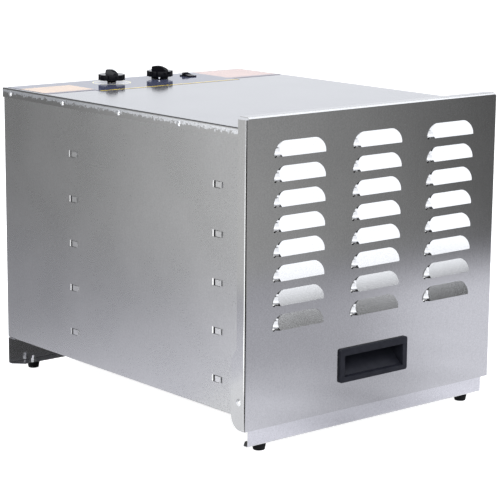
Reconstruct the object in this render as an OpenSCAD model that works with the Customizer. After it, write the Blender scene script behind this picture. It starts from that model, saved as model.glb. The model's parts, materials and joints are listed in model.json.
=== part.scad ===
// Countertop food dehydrator: folded stainless body, lift-off louvred door, ten wire trays.
// Origin on the bench, under the middle of the overall box. Front faces -Y, +Z is up.

/* [Body] */
// Outside width of the door, which wraps round the body
door_w = 437; // [424:1:440]
// Depth from the louvre lips to the back of the cord gland
overall_d = 554; // [550:1:560]
// Thickness of every folded sheet
sheet_t = 0.8; // [0.7:0.1:0.9]
// Height of the body's underside above the bench
body_z = 48; // [47:0.5:49]
// Height of the top cover's upper face
cover_z = 409; // [406:0.1:410]
// Depth of the flange that the top cover turns down over the sides
cover_flange = 13.2; // [11:0.1:14]
// Outer radius of the folded edges
bend_r = 2; // [1.5:0.1:2.5]

/* [Door] */
// Height of the door's lower edge
door_z = 32; // [31:0.5:33]
// Height of the door
door_h = 391; // [388:0.1:392]
// Outer bend radius of the door
door_bend_r = 3; // [2:0.1:3.5]
// Depth of the door's side and top flanges
flange_d = 16; // [14:0.5:17]
// Depth of the lower ears that carry the studs
ear_d = 26; // [24:0.5:27]
// Height of the stud above the bench
stud_z = 68; // [67:0.5:69]
// Distance of the stud behind the door's face
stud_set = 12; // [11.5:0.1:12.5]
// Length of one louvre
louvre_w = 84; // [70:1:90]
// Height of one louvre
louvre_h = 18; // [16:0.5:19]
// How far a louvre's lip stands in front of the door
louvre_proud = 8; // [6:0.5:9]
// Middle column of louvres from the middle of the door
louvre_x = -1.3; // [-3:0.1:3]
// Spacing of the louvre columns
louvre_dx = 131; // [126:1:134]
// Spacing of the louvre rows
louvre_dz = 31; // [30:0.05:31.5]
// Height of the lowest louvre lip
louvre_z = 155.6; // [154:0.1:157]

/* [Handle] */
// Middle of the handle from the middle of the door
handle_x = -2; // [-4:0.5:4]
// Width of the recessed handle's frame
handle_w = 119.5; // [118:0.5:126]
// Height of the recessed handle's frame
handle_h = 44.5; // [43:0.5:46]
// Height of the middle of the handle
handle_z = 90.8; // [90:0.1:92]
// Depth of the finger pocket behind the door's face
pocket_d = 23; // [20:0.5:24]

/* [Trays] */
// Spacing of the trays
tray_dz = 30.8; // [30.4:0.1:31]
// Height of the lowest tray's resting face
tray_z = 73.1; // [72.6:0.1:73.6]
// Depth of a tray from front to back
tray_d = 385; // [370:1:386]
// Diameter of a tray's rim wire
rim_wire = 5; // [4:0.2:5]
// Diameter of a tray's mesh wires
mesh_wire = 2.3; // [1.8:0.1:2.3]
// Number of mesh wires that run from front to back
mesh_count = 25; // [15:2:29]

/* [Controls] */
// Diameter of both knobs
knob_d = 38.5; // [34:0.5:40]
// Gap between a knob's skirt and the cover
knob_gap = 4.2; // [4:0.1:6]
// Left-right place of the timer knob
timer_x = -58; // [-62:1:-50]
// Left-right place of the thermostat knob
thermostat_x = 29; // [26:1:36]
// Left-right place of the rocker switch
switch_x = 82; // [78:1:90]
// Front-back place of the control row
control_y = 227; // [222:1:230]

/* [Feet] */
// Height of a rubber foot
foot_h = 9.5; // [9:0.5:10]
// Top diameter of a rubber foot
foot_d = 18.5; // [17:0.5:19]
// Left-right distance of the feet from the middle
foot_x = 181; // [178:1:188]

/* [Fan] */
// Diameter of the fan blade
fan_d = 160; // [140:1:164]
// Height of the fan's axis
fan_z = 228; // [220:1:236]

/* [Hidden] */
$fn = 48;
gland_reach = 11;
door_y = louvre_proud - overall_d / 2;
front_y = door_y + 4;
rear_y = overall_d / 2 - gland_reach;
panel_x = door_w / 2 - 2.4;
inner_x = panel_x - sheet_t;
flat_x = panel_x - bend_r - 0.2;
snug_x = inner_x - 0.3;
side_top_w = 12;
door_top = door_z + door_h;
cover_low = cover_z - sheet_t;
floor_top = body_z + 2 * sheet_t;
bracket_y = front_y + 1;
stud_y = door_y + stud_set;
stud_d = 5;
rest = 0.3;

cover_screw_y = [for (i = [0:3]) door_y + 134 + 128 * i];
cover_screw_z = cover_z - 7.7;
rear_screw_x = panel_x - 8;
rear_screw_z = [70, 225, 380];
screw_hole = 3.1;
foot_set = foot_d / 2 + 1.7;

hook_y = [door_y + 55.6, door_y + 365];
hook_h = 7.4;
hook_l = 11.7;
hook_t = 1.2;
rail_count = 5;
rail_x = inner_x - 3;
rail_depth = 10.8;
rail_y0 = door_y + 31;
tray_y0 = door_y + 36;
baffle_y = door_y + 430;
rail_y1 = baffle_y - 6;
tray_x = rail_x - sheet_t - 0.8;
rim_r = rim_wire / 2;
rim_bend = 14;

fan_y = baffle_y + 20;
ring_r = fan_d / 2 + 25;
element_y = baffle_y + 17;
motor_y = baffle_y + 44;
motor_shaft_d = 6;
fit = 0.05;

hub_d = 25;
hub_h = 3.4;
pivot_z = cover_z + 1.2;
rocker_tilt = 12.5;
cutout = [6.5, 9.7];
control_shaft_d = 6;
control_shaft_in = 14;
control_shaft_out = 5;
gland_x = 150;
gland_z = 100;
gland_bore = 7.6;
label_t = 0.3;

// Points of an arc, for folded edges in an outline
function arc(c, r, a0, a1, steps = 6) =
    [for (i = [0:steps]) let (a = a0 + (a1 - a0) * i / steps) c + r * [cos(a), sin(a)]];

function hook_z(i) = tray_z + tray_dz / 2 + 2 * tray_dz * (i - 1);

// Box given by its limits along X, Y and Z
module block(x, y, z) {
    translate([x[0], y[0], z[0]])
        cube([x[1] - x[0], y[1] - y[0], z[1] - z[0]]);
}

// Outline in (y, z), drawn out along X
module along_x(x) {
    translate([x[0], 0, 0])
        rotate([90, 0, 90])
            linear_extrude(x[1] - x[0])
                children();
}

// Outline in (x, z), drawn out along Y
module along_y(y) {
    translate([0, y[1], 0])
        rotate([90, 0, 0])
            linear_extrude(y[1] - y[0])
                children();
}

// Outline in (x, y), drawn out along Z
module along_z(z) {
    translate([0, 0, z[0]])
        linear_extrude(z[1] - z[0])
            children();
}

// Domed screw or rivet head standing on the XY plane
module dome(d, h) {
    r = (d * d / 4 + h * h) / (2 * h);
    intersection() {
        translate([0, 0, h - r])
            sphere(r);
        cylinder(d = d + 1, h = h + 1);
    }
}

// Domed head with a cross recess, and its shank below the XY plane
module screw(head_d, head_h, shank_d, shank_l) {
    slot_w = 0.8;
    difference() {
        dome(head_d, head_h);
        for (a = [0, 90])
            rotate(a)
                translate([-head_d / 4, -slot_w / 2, head_h - 0.9])
                    cube([head_d / 2, slot_w, 2]);
    }
    translate([0, 0, -shank_l])
        cylinder(d = shank_d, h = shank_l + 0.1);
}

// ---- Folded body ----

// Side panel on the right: a plate folded inwards at its floor, top and rear edges, with
// five pairs of slots for the hooks of the tray rails and an open slot for the door's stud
module side_panel() {
    low = 15;
    back = 14;
    top_z = cover_low;
    difference() {
        union() {
            along_y([front_y, rear_y])
                polygon(concat(
                    [[panel_x - low, body_z]],
                    arc([panel_x - bend_r, body_z + bend_r], bend_r, -90, 0),
                    arc([panel_x - bend_r, top_z - bend_r], bend_r, 0, 90),
                    [[panel_x - side_top_w, top_z], [panel_x - side_top_w, top_z - sheet_t]],
                    arc([panel_x - bend_r, top_z - bend_r], bend_r - sheet_t, 90, 0),
                    arc([panel_x - bend_r, body_z + bend_r], bend_r - sheet_t, 0, -90),
                    [[panel_x - low, body_z + sheet_t]]));
            block([panel_x - back, inner_x + 0.1], [rear_y - 2 * sheet_t, rear_y - sheet_t],
                [floor_top + 1, top_z - 4]);
        }
        for (y = hook_y, i = [1:rail_count])
            hook_slot(y, hook_z(i));
        translate([inner_x - 1, stud_y, stud_z])
            rotate([0, 90, 0])
                cylinder(d = stud_d + 1.4, h = sheet_t + 2);
        translate([inner_x - 1, stud_y, stud_z])
            rotate([45, 0, 0])
                translate([0, -stud_d / 2 - 0.4, 0])
                    cube([sheet_t + 2, stud_d + 0.8, 20]);
        cover_screw_holes();
        rear_screw_holes();
    }
}

// Clearance holes on the right for the cover's screws, through the cover and the side panel
module cover_screw_holes() {
    for (y = cover_screw_y)
        wire_x([inner_x - 1, panel_x + sheet_t + 1], y, cover_screw_z, screw_hole / 2);
}

// Clearance holes on the right for the rear panel's screws
module rear_screw_holes() {
    for (z = rear_screw_z)
        wire_y(rear_screw_x, [rear_y - 3, rear_y + 1], z, screw_hole / 2);
}

// Slot on the right for one hook of a rail, with a sloped rear end that leads the hook in
module hook_slot(y, z) {
    front = -4;
    lead = 2;
    rear = 11.3;
    translate([0, y, 0])
        along_z([z - hook_h / 2 - 1.1, z + hook_h / 2 + 0.3])
            polygon([[inner_x - 1, front], [panel_x + 1, front],
                [panel_x + 1, rear + lead], [inner_x - 1, rear - lead * (sheet_t + 1)]]);
}

module left_side_panel() {
    color("#9b9b9c")
        mirror([1, 0, 0])
            side_panel();
}

module right_side_panel() {
    color("#9b9b9c")
        side_panel();
}

// Chamber floor, resting on the side panels' lower flanges
module floor_panel() {
    color("#a8a9ab")
        block([-flat_x, flat_x], [front_y, rear_y - 2 * sheet_t], [body_z + sheet_t, floor_top]);
}

// Back wall with two banks of intake slots and the cord gland's hole
module rear_panel() {
    slot = [56, 4];
    color("#8f9092")
        difference() {
            block([-snug_x, snug_x], [rear_y - sheet_t, rear_y],
                [floor_top, cover_z - cover_flange + 8]);
            for (side = [-1, 1], i = [0:6])
                block([side * 60 - slot[0] / 2, side * 60 + slot[0] / 2], [rear_y - 2, rear_y + 1],
                    [fan_z - 48 + 16 * i, fan_z - 48 + 16 * i + slot[1]]);
            translate([gland_x, rear_y - 2, gland_z])
                rotate([-90, 0, 0])
                    cylinder(d = 16, h = 4);
            for (side = [0, 1])
                mirror([side, 0, 0])
                    rear_screw_holes();
        }
}

// Cover folded down over both sides and at the back, with the control holes
module top_cover() {
    edge = panel_x + sheet_t;
    overhang = 2.5;
    lip_x = panel_x - side_top_w - 0.3;
    low_z = cover_z - cover_flange;
    color("#c9cbd2")
        difference() {
            union() {
                along_y([front_y, rear_y + overhang])
                    polygon(concat(
                        [[edge, low_z]],
                        arc([edge - bend_r, cover_z - bend_r], bend_r, 0, 90),
                        arc([bend_r - edge, cover_z - bend_r], bend_r, 90, 180),
                        [[-edge, low_z], [-panel_x, low_z]],
                        arc([bend_r - edge, cover_z - bend_r], bend_r - sheet_t, 180, 90),
                        arc([edge - bend_r, cover_z - bend_r], bend_r - sheet_t, 90, 0),
                        [[panel_x, low_z]]));
                block([4 - inner_x, inner_x - 4], [rear_y + overhang - sheet_t, rear_y + overhang],
                    [low_z, cover_low + 0.1]);
                block([-lip_x, lip_x], [front_y, front_y + sheet_t], [low_z, cover_low + 0.1]);
            }
            control_openings([low_z, cover_z + 1]);
            for (side = [0, 1])
                mirror([side, 0, 0])
                    cover_screw_holes();
        }
}

// Openings for the two shafts and the switch, through the cover and its overlay
module control_openings(z) {
    for (x = [timer_x, thermostat_x])
        translate([x, control_y, z[0]])
            cylinder(d = 12, h = z[1] - z[0]);
    block([switch_x - cutout[0], switch_x + cutout[0]],
        [control_y - cutout[1], control_y + cutout[1]], z);
}

// Cross rail that ties the side panels together at the top of the opening
module front_rail() {
    rail_h = 22;
    rail_d = 16;
    y0 = front_y + 2 * sheet_t;
    z1 = cover_low - 2 * sheet_t;
    color("#a0a1a4") {
        block([-snug_x, snug_x], [y0, y0 + sheet_t], [z1 - rail_h, z1]);
        block([-snug_x, snug_x], [y0, y0 + rail_d], [z1 - rail_h, z1 - rail_h + sheet_t]);
    }
}

// Wall between the tray chamber and the fan, with a ring grille and side return slots
module fan_baffle() {
    bar = 6;
    color("#a5a6a8")
        difference() {
            block([-snug_x, snug_x], [baffle_y, baffle_y + sheet_t],
                [floor_top, cover_low - 2 * sheet_t]);
            for (r = [14:13:66])
                translate([0, baffle_y - 1, fan_z])
                    rotate([-90, 0, 0])
                        difference() {
                            cylinder(r = r + 8, h = 3);
                            translate([0, 0, -1])
                                cylinder(r = r, h = 5);
                            for (a = [0:60:120])
                                rotate(a)
                                    translate([-90, -bar / 2, -1])
                                        cube([180, bar, 5]);
                        }
            for (side = [-1, 1], x = [150, 172, 194], z = [90, 190, 290])
                block([side * x - 4, side * x + 4], [baffle_y - 1, baffle_y + 2], [z, z + 70]);
        }
}

// Printed overlay round the controls, stepped forward in its middle
module control_label() {
    half = 210;
    step = [-132, 118];
    low = [door_y + 419, door_y + 434];
    high = rear_y - 1.5;
    color("#a9adc4")
        difference() {
            along_z([cover_z, cover_z + label_t])
                polygon([[-half, low[1]], [step[0], low[1]], [step[0], low[0]], [step[1], low[0]],
                    [step[1], low[1]], [half, low[1]], [half, high], [-half, high]]);
            control_openings([cover_z - 1, cover_z + 1]);
        }
}

// ---- Stand ----

// Folded foot rail: a web with flanges that reach towards +Y, its lower corners cut off
module foot_bracket(half_w) {
    reach = 21;
    clip = 9;
    top = body_z;
    difference() {
        along_x([-half_w, half_w])
            polygon(concat(
                arc([bend_r, top - bend_r], bend_r, 90, 180),
                arc([bend_r, foot_h + bend_r], bend_r, 180, 270),
                [[reach, foot_h], [reach, foot_h + sheet_t]],
                arc([bend_r, foot_h + bend_r], bend_r - sheet_t, 270, 180),
                arc([bend_r, top - bend_r], bend_r - sheet_t, 180, 90),
                [[reach - 3, top - sheet_t], [reach - 3, top]]));
        for (side = [-1, 1])
            translate([side * half_w, reach, foot_h - 1])
                rotate(45)
                    translate([-clip, -clip, 0])
                        cube([2 * clip, 2 * clip, 3]);
        for (side = [-1, 1])
            translate([side * foot_x, foot_set, foot_h - 1])
                cylinder(d = 4.4, h = 3);
    }
}

module front_foot_bracket() {
    color("#b9bac0")
        translate([0, bracket_y, 0])
            foot_bracket(door_w / 2 - 10);
}

module rear_foot_bracket() {
    color("#b9bac0")
        translate([0, rear_y, 0])
            mirror([0, 1, 0])
                foot_bracket(panel_x);
}

// Places of the four feet, each as [x, y]
function foot_places() =
    [for (side = [-1, 1], y = [bracket_y + foot_set, rear_y - foot_set]) [side * foot_x, y]];

module rubber_feet() {
    color("#1d1d1f")
        for (p = foot_places())
            translate([p[0], p[1], 0])
                difference() {
                    cylinder(d1 = foot_d - 3.5, d2 = foot_d, h = foot_h);
                    translate([0, 0, -1])
                        cylinder(d = 9.5, h = 5);
                    translate([0, 0, -1])
                        cylinder(d = 4.2, h = foot_h + 2);
                }
}

module foot_screws() {
    color("#c4c4c6")
        for (p = foot_places())
            translate([p[0], p[1], 0]) {
                translate([0, 0, 1.8])
                    cylinder(d = 8, h = 2.2);
                translate([0, 0, 3])
                    cylinder(d = 4, h = foot_h + 5);
            }
}

module foot_nuts() {
    color("#c4c4c6")
        for (p = foot_places())
            translate([p[0], p[1], foot_h + sheet_t])
                difference() {
                    cylinder(d = 8.1, h = 3.2, $fn = 6);
                    translate([0, 0, -1])
                        cylinder(d = 4.1, h = 6);
                }
}

// Four pan-head screws on each side of the cover
module cover_screws() {
    color("#e3e4e8")
        for (side = [-1, 1], y = cover_screw_y)
            translate([side * (panel_x + sheet_t), y, cover_screw_z])
                rotate([0, side * 90, 0])
                    screw(7, 1.9, 3, 4);
}

// Three screws down each side of the rear panel
module rear_screws() {
    color("#e3e4e8")
        for (side = [-1, 1], z = rear_screw_z)
            translate([side * rear_screw_x, rear_y, z])
                rotate([-90, 0, 0])
                    screw(7, 1.9, 3, 5);
}

// ---- Rails and trays ----

// Channel on the right that carries two trays, one in it and one on it. Its two hooks reach
// out through the side panel's slots and grip the panel's edge
module tray_rail(i) {
    low = hook_z(i) - tray_dz / 2;
    high = hook_z(i) + tray_dz / 2;
    far = rail_x - rail_depth;
    color("#b4b5b8") {
        along_y([rail_y0, rail_y1])
            polygon([[rail_x, low - sheet_t], [rail_x, high], [far, high], [far, high - sheet_t],
                [rail_x - sheet_t, high - sheet_t], [rail_x - sheet_t, low], [far, low],
                [far, low - sheet_t]]);
        for (y = hook_y)
            translate([0, y, 0])
                along_z([hook_z(i) - hook_h / 2, hook_z(i) + hook_h / 2])
                    hook_outline();
    }
}

// Hook of a rail seen from above: a shoulder inside the side panel and a tongue outside it
module hook_outline() {
    rear = 4;
    front = rear - hook_l;
    neck = front + 4;
    web = rail_x - sheet_t / 2;
    polygon([[web, front], [inner_x, front], [inner_x, neck], [panel_x, neck], [panel_x, front],
        [panel_x + hook_t, front], [panel_x + hook_t, rear], [web, rear]]);
}

module tray_rail_left(i) {
    mirror([1, 0, 0])
        tray_rail(i);
}

module tray_rail_left_1() { tray_rail_left(1); }
module tray_rail_left_2() { tray_rail_left(2); }
module tray_rail_left_3() { tray_rail_left(3); }
module tray_rail_left_4() { tray_rail_left(4); }
module tray_rail_left_5() { tray_rail_left(5); }
module tray_rail_right_1() { tray_rail(1); }
module tray_rail_right_2() { tray_rail(2); }
module tray_rail_right_3() { tray_rail(3); }
module tray_rail_right_4() { tray_rail(4); }
module tray_rail_right_5() { tray_rail(5); }

// Straight wire of radius r between two points along one axis
module wire_y(x, y, z, r) {
    translate([x, y[0], z])
        rotate([-90, 0, 0])
            cylinder(r = r, h = y[1] - y[0]);
}

module wire_x(x, y, z, r) {
    translate([x[0], y, z])
        rotate([0, 90, 0])
            cylinder(r = r, h = x[1] - x[0]);
}

// Wire tray: a bent rim, with cross wires and a layer of mesh wires above them, welded to it
module tray(i) {
    z = tray_z + rest + rim_r + tray_dz * (i - 1);
    x1 = tray_x - rim_r;
    y0 = tray_y0 + rim_r;
    y1 = tray_y0 + tray_d - rim_r;
    mesh_r = mesh_wire / 2;
    layer = mesh_r + 0.05;
    color("#d5d6da") {
        for (side = [-1, 1])
            wire_y(side * x1, [y0 + rim_bend, y1 - rim_bend], z, rim_r);
        for (y = [y0, y1])
            wire_x([rim_bend - x1, x1 - rim_bend], y, z, rim_r);
        for (side = [-1, 1], end = [-1, 1])
            translate([side * (x1 - rim_bend), end > 0 ? y1 - rim_bend : y0 + rim_bend, z])
                rotate(side > 0 ? (end > 0 ? 0 : 270) : (end > 0 ? 90 : 180))
                    rotate_extrude(angle = 90)
                        translate([rim_bend, 0])
                            circle(r = rim_r);
        for (k = [1:3])
            wire_x([-x1, x1], y0 + (y1 - y0) * k / 4, z - layer, mesh_r);
        for (k = [1:mesh_count])
            wire_y(-x1 + 2 * x1 * k / (mesh_count + 1), [y0, y1], z + layer, mesh_r);
    }
}

module tray_1() { tray(1); }
module tray_2() { tray(2); }
module tray_3() { tray(3); }
module tray_4() { tray(4); }
module tray_5() { tray(5); }
module tray_6() { tray(6); }
module tray_7() { tray(7); }
module tray_8() { tray(8); }
module tray_9() { tray(9); }
module tray_10() { tray(10); }

// ---- Door ----

// Plan outline of the door pan, set in from its outside by a distance
module pan_plan(in) {
    r = door_bend_r - in;
    x = door_w / 2 - in;
    y = door_y + in;
    polygon(concat(
        [[x, door_y + 60]],
        [[-x, door_y + 60]],
        arc([r - x, y + r], r, 180, 270),
        arc([x - r, y + r], r, 270, 360)));
}

// Side outline of the door pan: narrow flange above, wider round-cornered ear below
module pan_side() {
    ear_r = 18;
    polygon(concat(
        [[door_y, door_z]],
        arc([door_y + ear_d - ear_r, door_z + ear_r], ear_r, 270, 360, 9),
        [[door_y + ear_d, door_z + 88], [door_y + flange_d, door_z + 103],
            [door_y + flange_d, door_top]],
        arc([door_y + door_bend_r, door_top - door_bend_r], door_bend_r, 90, 180)));
}

// Space inside the door pan, seen from the side
module pan_side_space() {
    r = door_bend_r - sheet_t;
    y = door_y + sheet_t;
    z = door_top - sheet_t;
    polygon(concat(
        [[y, door_z - 1], [door_y + 60, door_z - 1], [door_y + 60, z]],
        arc([y + r, z - r], r, 90, 180)));
}

// Bulge of one louvre: a flat slope down to its lip, with rounded ends. Everything is set in by
// a distance, and the bulge is kept above one height and within a depth
module louvre(in, low, y) {
    sink = 8;
    r = sqrt(louvre_h * louvre_h + sink * sink) - in;
    half = louvre_w / 2 - louvre_h;
    slope = louvre_h / louvre_proud;
    lip = louvre_proud - in * sqrt(1 + 1 / (slope * slope));
    intersection() {
        translate([0, door_y + sink, 0])
            rotate([0, 90, 0])
                rotate_extrude()
                    intersection() {
                        union() {
                            translate([0, -half])
                                square([r, 2 * half]);
                            for (side = [-1, 1])
                                translate([0, side * half])
                                    circle(r = r);
                        }
                        translate([0, -half - r])
                            square([r, 2 * half + 2 * r]);
                    }
        along_x([-louvre_w, louvre_w])
            polygon([[door_y - lip - 5 / slope, -5], [y, -5], [y, (y - door_y + lip) * slope]]);
        block([-louvre_w, louvre_w], [door_y - 20, y], [low, r + 1]);
    }
}

function louvre_places() =
    [for (col = [-1, 0, 1], row = [0:7])
        [louvre_x + col * louvre_dx, louvre_z + row * louvre_dz]];

// Door pan with twenty-four pressed louvres and the relief holes at the ends of their lips,
// the handle's hole and two stud ears
module door_panel() {
    notch = 3.4;
    relief_d = 3.4;
    hole_w = handle_w / 2 - 4.5;
    color("#8b8e98")
        difference() {
            union() {
                difference() {
                    intersection() {
                        along_z([door_z - 1, door_top + 1])
                            pan_plan(0);
                        along_x([-door_w / 2, door_w / 2])
                            pan_side();
                    }
                    intersection() {
                        along_z([door_z - 2, door_top])
                            pan_plan(sheet_t);
                        along_x([-door_w / 2, door_w / 2])
                            pan_side_space();
                    }
                }
                for (p = louvre_places())
                    translate([p[0], 0, p[1]])
                        louvre(0, 0, door_y + sheet_t / 2);
            }
            for (p = louvre_places())
                translate([p[0], 0, p[1]])
                    louvre(sheet_t, -0.3, door_y + 5);
            for (p = louvre_places(), side = [-1, 1])
                translate([p[0] + side * (louvre_w / 2 - 2.2), door_y - 3, p[1] - 0.5])
                    rotate([-90, 0, 0])
                        cylinder(d = relief_d, h = 5);
            block([handle_x - hole_w, handle_x + hole_w], [door_y - 1, door_y + 5],
                [handle_z - handle_h / 2 + 3, handle_z + handle_h / 2 - 3]);
            for (side = [-1, 1])
                block([side * (door_w / 2) - notch, side * (door_w / 2) + notch],
                    [door_y - 1, door_y + 60], [door_top - notch, door_top + 1]);
            translate([-door_w, stud_y, stud_z])
                rotate([0, 90, 0])
                    cylinder(d = stud_d + 0.1, h = 2 * door_w);
        }
}

// Riveted stud through each ear, with the collar that runs behind the side panel
module door_studs() {
    collar_x = inner_x - 0.6;
    color("#e3e4e8")
        for (side = [-1, 1])
            translate([0, stud_y, stud_z])
                rotate([0, side * 90, 0]) {
                    translate([0, 0, door_w / 2])
                        dome(9.5, 1.8);
                    translate([0, 0, collar_x - 1])
                        cylinder(d = stud_d, h = door_w / 2 - collar_x + 1.2);
                    translate([0, 0, collar_x - 1.2])
                        cylinder(d = 9, h = 1.2);
                }
}

// Moulded cup with a wedge pocket that is deepest behind its upper rim
module door_handle() {
    proud = 3;
    rim_side = 8;
    rim_top = 9.5;
    rim_low = 6.5;
    wall = 1.8;
    half_w = handle_w / 2;
    low = handle_z - handle_h / 2;
    high = handle_z + handle_h / 2;
    back = door_y + pocket_d;
    pocket_low = low + rim_low;
    pocket_high = high - 5.2;
    corner = 3;
    color("#3b3c42")
        translate([handle_x, 0, 0])
            difference() {
                union() {
                    along_y([door_y - proud, door_y])
                        polygon(concat(
                            arc([half_w - corner, high - corner], corner, 0, 90),
                            arc([corner - half_w, high - corner], corner, 90, 180),
                            arc([corner - half_w, low + corner], corner, 180, 270),
                            arc([half_w - corner, low + corner], corner, 270, 360)));
                    along_x([rim_side - wall - half_w, half_w - rim_side + wall])
                        polygon([[door_y - 1, low + 3.4], [door_y + 3, low + 3.4],
                            [back + wall, high - 17], [back + wall, high - 3.4],
                            [door_y - 1, high - 3.4]]);
                }
                along_x([rim_side - half_w, half_w - rim_side])
                    polygon([[door_y - proud - 1, pocket_low], [door_y - proud, pocket_low],
                        [door_y + 2, pocket_low + 1.5], [back, high - 16], [back, pocket_high],
                        [door_y, pocket_high], [door_y, high - rim_top],
                        [door_y - proud - 1, high - rim_top]]);
            }
}

// Spring clips that hold the cup against the back of the door
module handle_clips() {
    inner = handle_w / 2 - 6.2;
    color("#77787b")
        for (side = [-1, 1], z = [handle_z + 2, handle_z + 12])
            translate([handle_x, 0, z])
                mirror([side < 0 ? 1 : 0, 0, 0]) {
                    block([inner, inner + 0.6], [door_y + sheet_t, door_y + 9], [0, 6]);
                    block([inner, inner + 10], [door_y + sheet_t, door_y + sheet_t + 0.6], [0, 6]);
                }
}

// Magnets on the cross rail that hold the top of the door shut
module door_magnets() {
    face_y = door_y + sheet_t + 0.5;
    color("#2f2f33")
        for (side = [-1, 1])
            block([side * 150 - 12, side * 150 + 12], [face_y, front_y + 2 * sheet_t],
                [cover_z - cover_flange - 10, cover_z - cover_flange - 1]);
}

// ---- Controls ----

// Knob with a fluted skirt and a thin grip with an arched top. The grip is turned by one angle
// about the knob's axis, and the flutes start at another angle from the grip
module knob(place, turn, flute_turn, hub_d) {
    skirt_h = 8;
    top_h = 14.8;
    grip_r = 15;
    arch_r = 37;
    arch_x = 2.5;
    r = knob_d / 2;
    color("#17181b")
        translate([place, control_y, cover_z + knob_gap])
            rotate(turn)
                difference() {
                    union() {
                        difference() {
                            cylinder(r = r, h = skirt_h);
                            for (a = [0:45:315])
                                rotate(a + flute_turn)
                                    translate([r + 1.9, 0, -1])
                                        cylinder(r = 3.6, h = skirt_h + 2);
                        }
                        intersection() {
                            cylinder(r = grip_r, h = top_h);
                            along_x([-grip_r, grip_r])
                                polygon([[-4.8, skirt_h - 1], [4.8, skirt_h - 1],
                                    [3.3, skirt_h + 1.6], [2.6, top_h], [-2.6, top_h],
                                    [-3.3, skirt_h + 1.6]]);
                            wire_y(arch_x, [-grip_r, grip_r], top_h - arch_r, arch_r);
                        }
                        translate([0, 0, -hub_h])
                            cylinder(d = hub_d, h = hub_h + 0.4);
                    }
                    translate([0, 0, -4])
                        cylinder(d = control_shaft_d + 0.02, h = 4 + control_shaft_out + 0.2);
                }
}

module timer_knob() { knob(timer_x, 78, 0, 13); }

module thermostat_knob() {
    difference() {
        knob(thermostat_x, 93, -14, hub_d);
        set_screw(2.6, hub_d);
    }
}

// Radial cylinder through the wall of the thermostat knob's hub
module set_screw(d, reach) {
    translate([thermostat_x, control_y, cover_z + knob_gap - hub_h / 2])
        rotate([90, 0, -40])
            translate([0, 0, 3])
                cylinder(d = d, h = reach);
}

module thermostat_screw() {
    color("#e3e4e8")
        set_screw(2.5, hub_d / 2 - 2.6);
}

// Shaft that a knob turns, running in the bore of its control below the cover
module control_shaft(place) {
    color("#c9c9cc")
        translate([place, control_y, cover_z - control_shaft_in])
            cylinder(d = control_shaft_d, h = control_shaft_in + knob_gap + control_shaft_out);
}

module timer_shaft() { control_shaft(timer_x); }
module thermostat_shaft() { control_shaft(thermostat_x); }

// Blind running bore for a control's shaft, cut down from the cover
module shaft_bore(place) {
    translate([place, control_y, cover_z - control_shaft_in - 1])
        cylinder(d = control_shaft_d + 2 * fit, h = 30);
}

// Spring-wound twelve-hour timer under the cover
module timer_body() {
    color("#d9d6cc")
        difference() {
            union() {
                block([timer_x - 25, timer_x + 25], [control_y - 22, control_y + 22],
                    [cover_low - 42, cover_low - 6]);
                translate([timer_x, control_y, cover_low - 8])
                    cylinder(d = 11, h = 9.6);
                block([timer_x - 30, timer_x + 30], [control_y - 8, control_y + 8],
                    [cover_low - 8, cover_low - 6]);
                for (side = [-1, 1])
                    translate([timer_x + 20 * side, control_y, cover_low - 8])
                        cylinder(d = 7, h = 8);
            }
            shaft_bore(timer_x);
        }
}

// Capillary thermostat under the cover
module thermostat_body() {
    color("#c8b48a")
        difference() {
            union() {
                block([thermostat_x - 17, thermostat_x + 17], [control_y - 17, control_y + 17],
                    [cover_low - 34, cover_low - 8]);
                translate([thermostat_x, control_y, cover_low - 10])
                    cylinder(d = 11, h = 11.6);
                for (side = [-1, 1])
                    translate([thermostat_x + 12 * side, control_y, cover_low - 10])
                        cylinder(d = 7, h = 10);
            }
            shaft_bore(thermostat_x);
        }
}

// Sensing bulb behind the baffle, with the capillary that rises to the thermostat
module thermostat_bulb() {
    bulb_z = 345;
    bulb_y = baffle_y + 8;
    color("#b87f4f") {
        wire_x([thermostat_x - 45, thermostat_x + 35], bulb_y, bulb_z, 3);
        wire_y(thermostat_x + 25, [bulb_y, control_y - 11], bulb_z, 0.9);
        translate([thermostat_x + 25, control_y - 12, bulb_z])
            sphere(r = 1.3);
        translate([thermostat_x + 25, control_y - 12, bulb_z])
            cylinder(r = 0.9, h = 33);
        translate([thermostat_x + 25, control_y - 12, bulb_z + 33])
            sphere(r = 1.3);
        wire_x([thermostat_x + 17, thermostat_x + 25], control_y - 12, bulb_z + 33, 0.9);
    }
}

// Snap-in switch body with its bezel on the label
module switch_housing() {
    bezel = [7.5, 10.5];
    window = [5.6, 8.9];
    body = [cutout[0] - 0.1, cutout[1] - 0.1];
    color("#16171a")
        translate([switch_x, control_y, 0])
            difference() {
                union() {
                    block([-bezel[0], bezel[0]], [-bezel[1], bezel[1]],
                        [cover_z + label_t, cover_z + 2]);
                    block([-body[0], body[0]], [-body[1], body[1]], [cover_z - 22, cover_z + 1]);
                }
                block([-window[0], window[0]], [-window[1], window[1]],
                    [cover_z - 9, cover_z + 3]);
                wire_x([-6.2, 6.2], 0, pivot_z, 1.2 + fit);
            }
    color("#c9a94f")
        for (y = [-5, 0, 5])
            block([switch_x - 2.4, switch_x + 2.4], [control_y + y - 0.4, control_y + y + 0.4],
                [cover_z - 31, cover_z - 21.9]);
}

// Rocker with its pivot pin, resting with the rear end up
module switch_rocker() {
    color("#101114")
        translate([switch_x, control_y, pivot_z])
            rotate([rocker_tilt, 0, 0]) {
                along_x([-5.2, 5.2])
                    polygon([[-8.2, -2.6], [0, -4], [8.2, -2.6], [8.2, 2.6], [0, 1.9],
                        [-8.2, 2.6]]);
                wire_x([-6.1, 6.1], 0, 0, 1.2);
            }
}

// ---- Fan, heater and wiring ----

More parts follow.
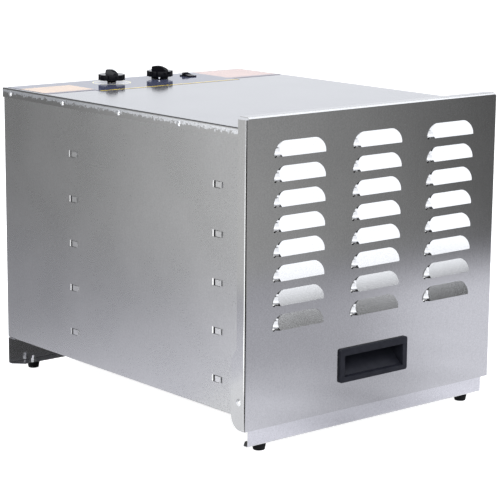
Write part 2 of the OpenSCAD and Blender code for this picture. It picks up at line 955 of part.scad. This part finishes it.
module fan_shroud() {
    y1 = baffle_y + 34;
    color("#9a9b9e")
        translate([0, baffle_y + sheet_t, fan_z])
            rotate([-90, 0, 0])
                difference() {
                    union() {
                        cylinder(r = fan_d / 2 + 6, h = y1 - baffle_y - sheet_t, $fn = 96);
                        cylinder(r = fan_d / 2 + 16, h = sheet_t, $fn = 96);
                    }
                    translate([0, 0, -1])
                        cylinder(r = fan_d / 2 + 5, h = 60, $fn = 96);
                }
}

// Five pitched blades on a hub
module fan_blade() {
    hub_r = 15;
    hub_l = 22;
    color("#8d9095")
        translate([0, fan_y - hub_l / 2, fan_z])
            rotate([-90, 0, 0])
                difference() {
                    union() {
                        cylinder(r = hub_r, h = hub_l);
                        intersection() {
                            cylinder(r = fan_d / 2, h = hub_l, $fn = 96);
                            for (a = [0:72:288])
                                rotate(a)
                                    translate([0, 0, hub_l / 2])
                                        rotate([28, 0, 0])
                                            translate([hub_r - 3, -21, -0.8])
                                                cube([fan_d, 42, 1.6]);
                        }
                    }
                    translate([0, 0, 4])
                        cylinder(d = motor_shaft_d + 0.02, h = hub_l);
                }
}

// Motor shaft that carries the fan, held in the hub and running in the motor
module fan_shaft() {
    y0 = fan_y - 7;
    color("#c9c9cc")
        wire_y(0, [y0, motor_y + 40], fan_z, motor_shaft_d / 2);
}

// Shaded-pole motor: laminated stack, two bearing cans and a coil
module fan_motor() {
    color("#6f6a62")
        difference() {
            union() {
                block([-35, 35], [motor_y + 12, motor_y + 32], [fan_z - 45, fan_z + 30]);
                wire_y(0, [motor_y, motor_y + 46], fan_z, 22);
                block([-20, 20], [motor_y + 6, motor_y + 38], [fan_z - 58, fan_z - 32]);
            }
            wire_y(0, [motor_y - 1, motor_y + 41], fan_z, motor_shaft_d / 2 + fit);
        }
}

// Strap that carries the motor from the baffle
module motor_bracket() {
    half = 116;
    y1 = motor_y + 12;
    color("#9a9b9e")
        difference() {
            union() {
                block([-half, half], [y1 - 1.5, y1], [fan_z - 12, fan_z + 12]);
                wire_y(0, [y1 - 1.5, y1], fan_z, 30);
                for (side = [-1, 1]) {
                    block([side * half - 0.75, side * half + 0.75],
                        [baffle_y + sheet_t, y1], [fan_z - 12, fan_z + 12]);
                    block([side * (half + 7) - 7, side * (half + 7) + 7],
                        [baffle_y + sheet_t, baffle_y + sheet_t + 1.5], [fan_z - 12, fan_z + 12]);
                }
            }
            wire_y(0, [y1 - 3, y1 + 2], fan_z, 22.1);
        }
}

// Sheathed ring element round the fan shroud, with its two cold ends
module heating_element() {
    gap = 40;
    tube_r = 3.2;
    color("#5b5450") {
        translate([0, element_y, fan_z])
            rotate([90, 0, 0])
                rotate(gap / 2 - 90)
                    rotate_extrude(angle = 360 - gap, $fn = 96)
                        translate([ring_r, 0])
                            circle(r = tube_r);
        for (a = [-1, 1])
            wire_y(a * ring_r * sin(gap / 2), [element_y - 1, element_y + 34],
                fan_z - ring_r * cos(gap / 2), 4.2);
    }
}

// Posts that hold the element off the baffle
module element_posts() {
    color("#b9bac0")
        for (a = [30, 150, 210, 330])
            difference() {
                translate([0, baffle_y + sheet_t, fan_z])
                    rotate([0, -a, 0])
                        translate([ring_r - 5, 0, -3])
                            cube([10, 22, 6]);
                translate([0, element_y, fan_z])
                    rotate([90, 0, 0])
                        rotate_extrude($fn = 96)
                            translate([ring_r, 0])
                                circle(r = 3.3);
            }
}

// Screw terminals for the mains leads
module terminal_block() {
    color("#e8e2d0")
        difference() {
            block([118, 160], [rear_y - 62, rear_y - 44], [floor_top, floor_top + 18]);
            for (x = [126, 139, 152])
                wire_y(x, [rear_y - 63, rear_y - 43], floor_top + 7, 2.5);
            for (x = [126, 139, 152])
                translate([x, rear_y - 53, floor_top + 10])
                    cylinder(d = 5, h = 10);
        }
}

// Cable gland through the rear panel
module cord_gland() {
    color("#1b1b1d")
        translate([gland_x, rear_y, gland_z])
            rotate([-90, 0, 0])
                difference() {
                    union() {
                        translate([0, 0, -12])
                            cylinder(d = 15.6, h = 13);
                        cylinder(d = 24, h = 2);
                        cylinder(d = 22, h = 7, $fn = 6);
                        cylinder(d = 16, h = gland_reach);
                    }
                    translate([0, 0, -13])
                        cylinder(d = gland_bore, h = gland_reach + 15);
                }
}

module gland_nut() {
    color("#1b1b1d")
        translate([gland_x, rear_y - sheet_t - 5, gland_z])
            rotate([-90, 0, 0])
                difference() {
                    cylinder(d = 23, h = 5, $fn = 6);
                    translate([0, 0, -1])
                        cylinder(d = 15.7, h = 7);
                }
}

left_side_panel();
right_side_panel();
floor_panel();
rear_panel();
top_cover();
front_rail();
fan_baffle();
control_label();
front_foot_bracket();
rear_foot_bracket();
rubber_feet();
foot_screws();
foot_nuts();
cover_screws();
rear_screws();
tray_rail_left_1();
tray_rail_left_2();
tray_rail_left_3();
tray_rail_left_4();
tray_rail_left_5();
tray_rail_right_1();
tray_rail_right_2();
tray_rail_right_3();
tray_rail_right_4();
tray_rail_right_5();
tray_1();
tray_2();
tray_3();
tray_4();
tray_5();
tray_6();
tray_7();
tray_8();
tray_9();
tray_10();
door_panel();
door_studs();
door_handle();
handle_clips();
door_magnets();
timer_knob();
timer_shaft();
timer_body();
thermostat_knob();
thermostat_screw();
thermostat_shaft();
thermostat_body();
thermostat_bulb();
switch_housing();
switch_rocker();
fan_shroud();
fan_blade();
fan_shaft();
fan_motor();
motor_bracket();
heating_element();
element_posts();
terminal_block();
cord_gland();
gland_nut();
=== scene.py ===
import json
import math

import bpy
from mathutils import Matrix, Vector


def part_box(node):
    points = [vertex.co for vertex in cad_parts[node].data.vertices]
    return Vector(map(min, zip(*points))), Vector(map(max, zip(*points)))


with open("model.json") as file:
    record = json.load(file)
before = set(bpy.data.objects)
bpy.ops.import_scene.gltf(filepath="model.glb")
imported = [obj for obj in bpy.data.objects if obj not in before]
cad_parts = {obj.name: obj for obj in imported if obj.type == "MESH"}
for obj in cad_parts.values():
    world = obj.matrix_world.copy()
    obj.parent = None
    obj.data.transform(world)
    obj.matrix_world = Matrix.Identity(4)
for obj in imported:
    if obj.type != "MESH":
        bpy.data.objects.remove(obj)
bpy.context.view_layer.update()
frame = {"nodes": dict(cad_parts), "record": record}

NODES = frame["nodes"]


# ---- Camera ----

def make_camera():
    """Long-lens camera at the front left of the object, a little above it."""
    azimuth, elevation, roll = (math.radians(a) for a in (-40.046, 11.468, 0.469))
    aim = Vector((-0.023, -0.0446, 0.2018))
    distance = 2.599
    back = Vector((math.sin(azimuth) * math.cos(elevation),
                   -math.cos(azimuth) * math.cos(elevation), math.sin(elevation)))
    right = Vector((0, 0, 1)).cross(back).normalized()
    up = back.cross(right)
    right, up = (right * math.cos(roll) + up * math.sin(roll),
                 up * math.cos(roll) - right * math.sin(roll))
    data = bpy.data.cameras.new("camera")
    data.lens, data.sensor_width = 136.69, 36
    camera = bpy.data.objects.new("camera", data)
    bpy.context.scene.collection.objects.link(camera)
    turn = Matrix((right, up, back)).transposed().to_4x4()
    camera.matrix_world = Matrix.Translation(aim + back * distance) @ turn
    bpy.context.scene.camera = camera


# ---- Node helpers ----

class Shader:
    """A material with its Principled shader and short calls for the nodes that feed it."""

    def __init__(self, name, colour=(0.8, 0.8, 0.8), rough=0.5, metal=0.0, **sockets):
        self.material = bpy.data.materials.new(name)
        self.material.use_nodes = True
        self.tree = self.material.node_tree
        self.bsdf = self.tree.nodes["Principled BSDF"]
        self.bsdf.inputs["Base Color"].default_value = (*colour, 1)
        self.bsdf.inputs["Roughness"].default_value = rough
        self.bsdf.inputs["Metallic"].default_value = metal
        for key, value in sockets.items():
            self.bsdf.inputs[key.replace("_", " ")].default_value = value
        self.place = self.node("ShaderNodeTexCoord").outputs["Object"]

    def node(self, kind, **values):
        made = self.tree.nodes.new(kind)
        for key, value in values.items():
            setattr(made, key, value)
        return made

    def link(self, source, target):
        self.tree.links.new(source, target)

    def set(self, socket, source):
        self.link(source, self.bsdf.inputs[socket])

    def math(self, operation, a, b=0.0):
        made = self.node("ShaderNodeMath", operation=operation)
        for socket, value in zip(made.inputs, (a, b)):
            if isinstance(value, (int, float)):
                socket.default_value = value
            else:
                self.link(value, socket)
        return made.outputs[0]

    def noise(self, scale, detail=4, stretch=(1, 1, 1), rough=0.55):
        spread = self.node("ShaderNodeMapping")
        spread.inputs["Scale"].default_value = stretch
        self.link(self.place, spread.inputs["Vector"])
        made = self.node("ShaderNodeTexNoise")
        self.link(spread.outputs[0], made.inputs["Vector"])
        for key, value in (("Scale", scale), ("Detail", detail), ("Roughness", rough)):
            made.inputs[key].default_value = value
        return made.outputs["Fac"]

    def span(self, value, low, high, source=(0.3, 0.7)):
        made = self.node("ShaderNodeMapRange")
        for key, number in (("From Min", source[0]), ("From Max", source[1]),
                            ("To Min", low), ("To Max", high)):
            made.inputs[key].default_value = number
        self.link(value, made.inputs["Value"])
        return made.outputs[0]

    def mix(self, factor, a, b):
        made = self.node("ShaderNodeMix", data_type="RGBA")
        for socket, value in ((made.inputs["Factor"], factor), (made.inputs[6], a),
                              (made.inputs[7], b)):
            if isinstance(value, tuple):
                socket.default_value = (*value, 1)
            elif isinstance(value, (int, float)):
                socket.default_value = value
            else:
                self.link(value, socket)
        return made.outputs[2]

    def bump(self, height, strength, distance):
        made = self.node("ShaderNodeBump")
        made.inputs["Strength"].default_value = strength
        made.inputs["Distance"].default_value = distance
        self.link(height, made.inputs["Height"])
        self.set("Normal", made.outputs[0])


# ---- Materials ----

def steel(name, dark, light, rough, grain=(1, 1, 0.05)):
    """Rolled sheet: short fine grain, faint cloudy patches and slight unevenness of polish."""
    grain_scale, fine_scale, cloud_scale = 1500, 540, 9
    grain_bump, bump_depth = 0.004, 0.0002
    s = Shader(name, metal=1.0)
    lines = s.noise(grain_scale, 2, grain)
    clouds = s.noise(cloud_scale, 4, rough=0.5)
    fine = s.noise(fine_scale, 3, rough=0.7)
    tone = s.math("ADD", s.math("MULTIPLY", lines, 0.15),
                  s.math("ADD", s.math("MULTIPLY", fine, 0.6), s.math("MULTIPLY", clouds, 0.25)))
    s.set("Base Color", s.mix(s.span(tone, 0, 1, (0.36, 0.64)), dark, light))
    polish = s.math("ADD", s.math("MULTIPLY", clouds, 0.6), s.math("MULTIPLY", fine, 0.4))
    s.set("Roughness", s.span(polish, rough[0], rough[1], (0.35, 0.65)))
    height = s.math("ADD", s.math("MULTIPLY", lines, 0.4), s.math("MULTIPLY", fine, 0.6))
    s.bump(height, grain_bump, bump_depth)
    return s.material


def filmed_steel(name):
    """Cover sheet still under its clear protective film, which is torn along the side flanges. On
    the side flanges the film is painted lighter and mottled, as painted light, and darker towards
    their rear ends, as painted shade. A narrow strip along each side bend is bare."""
    film_drop, tear_height, bare_strip, flange_skin = 0.0064, 0.024, 0.0022, 0.0015
    rear_fade = (-0.15, 0.12)
    # the second tone is the film's painted shade towards the side flanges' rear ends
    bare, shaded_flange_film = (0.58, 0.58, 0.585), (0.42, 0.43, 0.45)
    s = Shader(name, rough=0.11)
    split = s.node("ShaderNodeSeparateXYZ")
    s.link(s.place, split.inputs[0])
    low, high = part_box("top_cover")
    ragged = s.math("MULTIPLY", s.math("SUBTRACT", s.noise(230, 4, rough=0.7), 0.5), tear_height)
    film = s.math("GREATER_THAN", s.math("ADD", split.outputs["Z"], ragged), high.z - film_drop)
    edge = s.math("GREATER_THAN", s.math("ABSOLUTE", split.outputs["X"]), high.x - bare_strip)
    upper = s.math("GREATER_THAN", split.outputs["Z"], high.z - bare_strip)
    corner = s.math("MULTIPLY", edge, upper)
    film = s.math("SUBTRACT", film, corner)
    clouds = s.noise(14, 4, rough=0.5)
    fine = s.noise(900, 4, rough=0.7)
    tone = s.math("ADD", s.math("MULTIPLY", fine, 0.5), s.math("MULTIPLY", clouds, 0.5))
    veil = s.mix(s.span(tone, 0, 1, (0.36, 0.64)), (0.34, 0.342, 0.36), (0.38, 0.382, 0.40))
    side = s.math("GREATER_THAN", s.math("ABSOLUTE", split.outputs["X"]), high.x - flange_skin)
    # painted light and shade on the side flanges: lighter mottled film at the front, darker
    # towards the rear
    lit_flange_mottle = s.mix(s.span(fine, 0, 1, (0.4, 0.6)), (0.54, 0.55, 0.57), (0.86, 0.87, 0.89))
    lit_front_weight = s.span(split.outputs["Y"], 1, 0, rear_fade)
    veil = s.mix(side, veil, s.mix(lit_front_weight, shaded_flange_film, lit_flange_mottle))
    s.set("Base Color", s.mix(film, bare, veil))
    metal = s.span(side, 0.75, 0.45, (0, 1))
    s.set("Metallic", s.mix(film, (1.0, 1.0, 1.0), metal))
    s.bump(fine, 0.02, 0.0002)
    return s.material


def chrome():
    """Plated tray wire with faint stains."""
    s = Shader("chrome_wire", metal=1.0)
    stain = s.noise(160, 4)
    s.set("Base Color", s.mix(s.span(stain, 0, 1), (0.62, 0.62, 0.63), (0.83, 0.83, 0.85)))
    s.set("Roughness", s.span(s.noise(420, 3), 0.10, 0.24))
    return s.material


def zinc():
    """Bright plated fasteners and shafts."""
    s = Shader("zinc", metal=1.0)
    s.set("Base Color", s.mix(s.span(s.noise(600, 3), 0, 1), (0.70, 0.71, 0.72),
                              (0.92, 0.92, 0.93)))
    s.set("Roughness", s.span(s.noise(900, 2), 0.16, 0.30))
    return s.material


def plastic(name, dark, light, rough, texture, strength):
    """Moulded plastic or rubber with a fine spark-eroded texture."""
    s = Shader(name, IOR=1.3)
    s.bsdf.inputs["Specular IOR Level"].default_value = 0.3
    s.set("Base Color", s.mix(s.span(s.noise(120, 4), 0, 1), dark, light))
    s.set("Roughness", s.span(s.noise(500, 3), rough[0], rough[1]))
    s.bump(s.noise(texture, 2), strength, 0.0003)
    return s.material


def plain_metal(name, dark, light, rough, metal=1.0):
    """Cast, drawn or painted metal with a soft mottle."""
    scale = 220
    s = Shader(name, metal=metal)
    s.set("Base Color", s.mix(s.span(s.noise(scale, 5), 0, 1), dark, light))
    s.set("Roughness", s.span(s.noise(scale * 2, 3), rough[0], rough[1]))
    s.bump(s.noise(scale * 4, 2), 0.15, 0.0003)
    return s.material


def label_film():
    """Printed film: dark field, amber border, orange blocks at both ends, dial plates."""
    s = Shader("label_film", rough=0.08, IOR=1.5)
    split = s.node("ShaderNodeSeparateXYZ")
    s.link(s.place, split.inputs[0])
    x, y = split.outputs[0], split.outputs[1]
    low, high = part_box("control_label")

    def inside(value, start, end):
        return s.math("MULTIPLY", s.math("GREATER_THAN", value, start),
                      s.math("LESS_THAN", value, end))

    def area(x_span, y_span):
        return s.math("MULTIPLY", inside(x, *x_span), inside(y, *y_span))

    def offset(node):
        a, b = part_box(node)
        return (s.math("SUBTRACT", x, (a.x + b.x) / 2), s.math("SUBTRACT", y, (a.y + b.y) / 2))

    def distance(node):
        dx, dy = offset(node)
        return s.math("SQRT", s.math("ADD", s.math("MULTIPLY", dx, dx),
                                     s.math("MULTIPLY", dy, dy)))

    slate, plum, amber = (0.060, 0.068, 0.115), (0.080, 0.018, 0.045), (0.90, 0.66, 0.06)
    rule_depth, border_depth, border_reach = 0.008, 0.0045, 0.006
    half_tick = 0.035
    plate_r, ring_r, tick_start, tick_end, tick_count = 0.0280, 0.0262, 0.0212, 0.0246, 24
    colour = s.mix(s.span(s.noise(60, 3), 0, 1), slate, (0.078, 0.086, 0.140))
    left_end, right_start = low.x + 0.084, high.x - 0.092
    front = low.y + 0.015
    for span, depth, tone in (((low.x, left_end), (0.010, 0.070), (0.60, 0.40, 0.25)),
                              ((right_start, high.x), (0.012, 0.098), (0.52, 0.32, 0.27))):
        wash = s.mix(s.span(s.noise(45, 3), 0, 1), tone, tuple(c * 0.9 for c in tone))
        colour = s.mix(area(span, (front + depth[0], front + depth[1])), colour, wash)
        rule = area(span, (front, front + rule_depth))
        colour = s.mix(rule, colour, plum)
    border = area((left_end - border_reach, right_start), (low.y, low.y + border_depth))
    colour = s.mix(border, colour, amber)
    dial = distance("timer_knob")
    colour = s.mix(inside(dial, 0.0, plate_r), colour, (0.42, 0.42, 0.48))
    colour = s.mix(inside(dial, ring_r, plate_r), colour, (0.82, 0.76, 0.36))
    angle = s.math("ARCTAN2", *offset("timer_knob"))
    tick = s.math("LESS_THAN", s.math("PINGPONG", angle, math.pi / tick_count), half_tick)
    ticks = s.math("MULTIPLY", tick, inside(dial, tick_start, tick_end))
    colour = s.mix(ticks, colour, (0.03, 0.03, 0.04))
    s.set("Base Color", colour)
    s.bump(s.noise(260, 2), 0.04, 0.0002)
    return s.material


def make_materials():
    side = steel("side_steel", (0.49, 0.49, 0.495), (0.62, 0.62, 0.625), (0.26, 0.30))
    door = steel("door_steel", (0.51, 0.51, 0.515), (0.62, 0.62, 0.625), (0.12, 0.16))
    cover = filmed_steel("cover_steel")
    inner = steel("inner_steel", (0.62, 0.62, 0.625), (0.76, 0.76, 0.765), (0.28, 0.38),
                  (0.05, 1, 1))
    bracket = steel("bracket_steel", (0.62, 0.62, 0.64), (0.74, 0.74, 0.76), (0.20, 0.28),
                    (0.05, 1, 1))
    black = plastic("black_plastic", (0.002, 0.002, 0.003), (0.004, 0.004, 0.006), (0.05, 0.11),
                    1400, 0.02)
    return {
        "side_steel": side, "door_steel": door, "cover_steel": cover, "inner_steel": inner,
        "bracket_steel": bracket, "zinc_fastener": zinc(), "tray_wire": chrome(),
        "black_plastic": black,
        "handle_plastic": plastic("handle_plastic", (0.009, 0.0095, 0.014), (0.016, 0.017, 0.023),
                                  (0.34, 0.48), 1600, 0.25),
        "foot_rubber": plastic("foot_rubber", (0.003, 0.003, 0.0035), (0.006, 0.006, 0.007),
                               (0.50, 0.70), 900, 0.30),
        "label_film": label_film(),
        "timer_case": plastic("timer_case", (0.60, 0.56, 0.46), (0.70, 0.66, 0.56), (0.4, 0.5),
                              1200, 0.15),
        "thermostat_case": plain_metal("thermostat_case", (0.50, 0.37, 0.17), (0.66, 0.52, 0.26),
                                       (0.25, 0.4)),
        "copper_bulb": plain_metal("copper_bulb", (0.55, 0.26, 0.14), (0.76, 0.42, 0.27),
                                   (0.2, 0.35)),
        "motor_iron": plain_metal("motor_iron", (0.10, 0.095, 0.09), (0.20, 0.19, 0.18),
                                  (0.4, 0.6), 0.8),
        "fan_aluminium": plain_metal("fan_aluminium", (0.52, 0.53, 0.55), (0.66, 0.67, 0.69),
                                     (0.28, 0.4)),
        "element_sheath": plain_metal("element_sheath", (0.10, 0.085, 0.08), (0.20, 0.17, 0.16),
                                      (0.35, 0.55), 0.7),
        "magnet_ferrite": plain_metal("magnet_ferrite", (0.02, 0.02, 0.022), (0.05, 0.05, 0.055),
                                      (0.5, 0.7), 0.3),
        "terminal_plastic": plastic("terminal_plastic", (0.66, 0.62, 0.52), (0.76, 0.72, 0.62),
                                    (0.4, 0.5), 1200, 0.15),
    }


# ---- CAD nodes ----

def soften(node, width):
    """Rounds a node's sharp edges by a small bevel, after its split faces are joined."""
    join_distance, sharp_angle = 0.00002, math.radians(32)
    obj = NODES[node]
    weld = obj.modifiers.new("weld", "WELD")
    weld.merge_threshold = join_distance
    bevel = obj.modifiers.new("bevel", "BEVEL")
    bevel.width, bevel.segments = width, 2
    bevel.limit_method, bevel.angle_limit = "ANGLE", sharp_angle
    bevel.harden_normals = True


def dress_nodes(materials):
    slots = {part["node"]: part["material_slot"] for part in frame["record"]["subparts"]}
    for node, obj in NODES.items():
        obj.data.materials.clear()
        obj.data.materials.append(materials[slots[node]])
    for node, width in (("timer_knob", 0.0006), ("thermostat_knob", 0.0006),
                        ("switch_rocker", 0.0006), ("switch_housing", 0.0004),
                        ("door_handle", 0.0008), ("rubber_feet", 0.0008),
                        ("cord_gland", 0.0004), ("gland_nut", 0.0004), ("foot_nuts", 0.0003),
                        ("door_magnets", 0.0004), ("timer_body", 0.0006),
                        ("thermostat_body", 0.0006), ("terminal_block", 0.0005)):
        soften(node, width)


# ---- Stage ----

def graded_card(name, corners, shade, tint=1.0):
    """Card that only reflections see: corners in order, shade(point) gives its brightness."""
    steps = 24
    a, b, c, d = (Vector(p) for p in corners)
    points, faces = [], []
    for j in range(steps + 1):
        for i in range(steps + 1):
            u, v = i / steps, j / steps
            points.append(a.lerp(b, u).lerp(d.lerp(c, u), v))
    for j in range(steps):
        for i in range(steps):
            k = j * (steps + 1) + i
            faces.append((k, k + 1, k + steps + 2, k + steps + 1))
    mesh = bpy.data.meshes.new(name)
    mesh.from_pydata(points, [], faces)
    tone = mesh.color_attributes.new("tone", "FLOAT_COLOR", "POINT")
    for k, point in enumerate(points):
        value = shade(point)
        tone.data[k].color = (value, value * 1.005, value * tint, 1)
    material = bpy.data.materials.new(name)
    material.use_nodes = True
    tree = material.node_tree
    tree.nodes.clear()
    read = tree.nodes.new("ShaderNodeAttribute")
    read.attribute_name = "tone"
    glow = tree.nodes.new("ShaderNodeEmission")
    output = tree.nodes.new("ShaderNodeOutputMaterial")
    tree.links.new(read.outputs["Color"], glow.inputs["Color"])
    tree.links.new(glow.outputs[0], output.inputs["Surface"])
    mesh.materials.append(material)
    card = bpy.data.objects.new(name, mesh)
    bpy.context.scene.collection.objects.link(card)
    for ray in ("camera", "diffuse", "transmission", "shadow", "volume_scatter"):
        setattr(card, "visible_" + ray, False)


def ramp(value, start, end, low, high):
    """Straight change from low to high while value goes from start to end."""
    t = min(1, max(0, (value - start) / (end - start)))
    return low + (high - low) * t


def make_cards():
    """Glowing cards and dark flags that only reflections see; their graded brightness paints what
    the bright sheet metal mirrors, as painted reflections.
    """
    def front_wall(point):
        return ramp(point.x, 0.35, 1.10, 0.54, 0.14) * ramp(point.z, 0.0, 0.35, 1.0, 0.78)

    def front_mat(point):
        across = point.x + 0.84 * (point.y + 0.27)
        near_left = ramp(point.y, -0.62, -0.42, 0, 1) * ramp(across, -0.16, -0.04, 0.40, 0)
        near = 0.58 + near_left + ramp(across, 0.04, 0.16, 0, 0.42)
        return near + (front_wall(point) - near) * ramp(point.y, -0.98, -0.78, 1, 0)

    def side_wall(point):
        return ramp(point.y, 0.20, 1.00, 0.98, 0.24)

    def side_mat(point):
        return ramp(point.y, 0.02, 0.60, 0.90, 0.38)

    def dark(point):
        return 0.02

    mat_z, lilac = 0.002, 1.09
    front_y, front_left, front_right, front_top = -1.05, -0.3, 2.4, 0.66
    side_x, side_start, side_end, side_top = -0.80, 0.20, 2.6, 0.9
    door_y, body_x, under_x, under_y, flag_top = -0.275, -0.225, 0.20, 0.25, 0.4
    graded_card("front_wall", ((front_left, front_y, 0), (front_right, front_y, 0),
                               (front_right, front_y, front_top),
                               (front_left, front_y, front_top)), front_wall)
    graded_card("front_mat", ((front_left, front_y, mat_z), (front_right, front_y, mat_z),
                              (front_right, door_y, mat_z), (-0.24, door_y, mat_z)),
                front_mat, lilac)
    graded_card("side_wall", ((side_x, side_start, 0), (side_x, side_end, 0),
                              (side_x, side_end, side_top), (side_x, side_start, side_top)),
                side_wall)
    graded_card("side_mat", ((side_x, side_start, mat_z), (side_x, side_end, mat_z),
                             (body_x, side_end, mat_z), (body_x, -0.10, mat_z)),
                side_mat, lilac)
    # painted pool of light: bright floor patch at the left front that only reflections see
    graded_card("left_light_pool", ((-2.4, -0.92, mat_z), (-0.46, -0.33, mat_z), (-0.60, 0.09, mat_z),
                              (-2.4, 0.17, mat_z)), lambda point: 2.3)
    graded_card("camera_flag", ((-1.35, -1.25, 0), (-0.15, -1.7, 0), (-0.15, -1.7, flag_top),
                                (-1.35, -1.25, flag_top)), dark)
    graded_card("front_flag", ((-2.6, -3.4, mat_z), (-0.26, -3.4, mat_z),
                               (-0.26, -0.30, mat_z), (-2.6, -1.00, mat_z)), dark)
    # painted shadow: dark card beneath the body that reflections see in place of the floor's
    # shade under it
    graded_card("under_shadow_card", ((-under_x, -under_y, mat_z), (under_x, -under_y, mat_z),
                               (under_x, under_y, mat_z), (-under_x, under_y, mat_z)),
                lambda point: 0.06)


def make_floor():
    """Pale floor that looks white to the camera and casts less light on the object."""
    half, drop = 14, 0.0002
    cast_glow, seen_glow = 0.36, 0.92
    mesh = bpy.data.meshes.new("studio_floor")
    mesh.from_pydata([(-half, -half, 0), (half, -half, 0), (half, half, 0), (-half, half, 0)], [],
                     [(0, 1, 2, 3)])
    floor = bpy.data.objects.new("studio_floor", mesh)
    bpy.context.scene.collection.objects.link(floor)
    s = Shader("studio_floor", colour=(0.55, 0.55, 0.55), rough=0.9)
    s.bsdf.inputs["Specular IOR Level"].default_value = 0.1
    s.bsdf.inputs["Emission Color"].default_value = (1, 1, 1, 1)
    path = s.node("ShaderNodeLightPath")
    seen = path.outputs["Is Camera Ray"]
    s.set("Emission Strength", s.span(seen, cast_glow, seen_glow, (0, 1)))
    mesh.materials.append(s.material)
    floor.location.z = -drop


def area_light(name, place, aim, size, radiance, colour=(1, 1, 1), glossy=True):
    """Rectangular light given by how bright its face looks."""
    data = bpy.data.lights.new(name, "AREA")
    data.shape, data.size, data.size_y = "RECTANGLE", size[0], size[1]
    data.energy, data.color = radiance * math.pi * size[0] * size[1], colour
    light = bpy.data.objects.new(name, data)
    light.location = place
    light.rotation_euler = (Vector(aim) - Vector(place)).to_track_quat("-Z", "Y").to_euler()
    light.visible_camera = False
    light.visible_glossy = glossy
    bpy.context.scene.collection.objects.link(light)


def make_world():
    """White horizon behind the object, dimmer towards the front and high up behind. The camera
    itself sees plain white."""
    front_glow, back_glow, zenith_glow, backdrop_glow = 0.5, 1.05, 0.12, 1.1
    world = bpy.data.worlds.new("studio")
    bpy.context.scene.world = world
    world.use_nodes = True
    tree = world.node_tree
    place = tree.nodes.new("ShaderNodeTexCoord")
    split = tree.nodes.new("ShaderNodeSeparateXYZ")
    tree.links.new(place.outputs["Generated"], split.inputs[0])

    def grade(source, span, low, high):
        made = tree.nodes.new("ShaderNodeMapRange")
        for key, number in (("From Min", span[0]), ("From Max", span[1]), ("To Min", low),
                            ("To Max", high)):
            made.inputs[key].default_value = number
        tree.links.new(source, made.inputs["Value"])
        return made.outputs[0]

    def product(a, b):
        made = tree.nodes.new("ShaderNodeMath")
        made.operation = "MULTIPLY"
        tree.links.new(a, made.inputs[0])
        tree.links.new(b, made.inputs[1])
        return made.outputs[0]

    depth = grade(split.outputs["Y"], (-0.6, 0.6), front_glow, back_glow)
    height = grade(split.outputs["Z"], (0.24, 0.50), 1.0, zenith_glow)
    surround = tree.nodes["Background"]
    surround.inputs["Color"].default_value = (0.935, 0.955, 1.0, 1)
    tree.links.new(product(depth, height), surround.inputs["Strength"])
    white = tree.nodes.new("ShaderNodeBackground")
    white.inputs["Strength"].default_value = backdrop_glow
    path = tree.nodes.new("ShaderNodeLightPath")
    choose = tree.nodes.new("ShaderNodeMixShader")
    tree.links.new(path.outputs["Is Camera Ray"], choose.inputs[0])
    tree.links.new(surround.outputs[0], choose.inputs[1])
    tree.links.new(white.outputs[0], choose.inputs[2])
    tree.links.new(choose.outputs[0], tree.nodes["World Output"].inputs["Surface"])


def make_stage():
    make_floor()
    make_world()
    make_cards()
    cool = (0.94, 0.96, 1.0)
    area_light("front_softbox", (1.3, -1.55, 1.45), (1.3, -0.5, 1.2), (2.8, 1.5), 1.8, cool)
    area_light("left_softbox", (-1.7, -1.7, 1.55), (0, -0.2, 0.5), (4.4, 2.2), 1.5, cool)
    area_light("key", (-1.5, -2.4, 2.1), (0.1, 0.1, 0.35), (0.35, 0.35), 26.0, cool)
    area_light("overhead", (0.6, -0.3, 2.6), (0.6, -0.3, 0), (4.6, 3.6), 1.7, cool)
    area_light("sky", (0, 4.0, 8.0), (0, 4.0, 0), (30.0, 30.0), 0.5, glossy=False)
    scene = bpy.context.scene
    scene.view_settings.view_transform = "Standard"
    scene.view_settings.look = "None"


def main():
    make_camera()
    dress_nodes(make_materials())
    make_stage()


main()
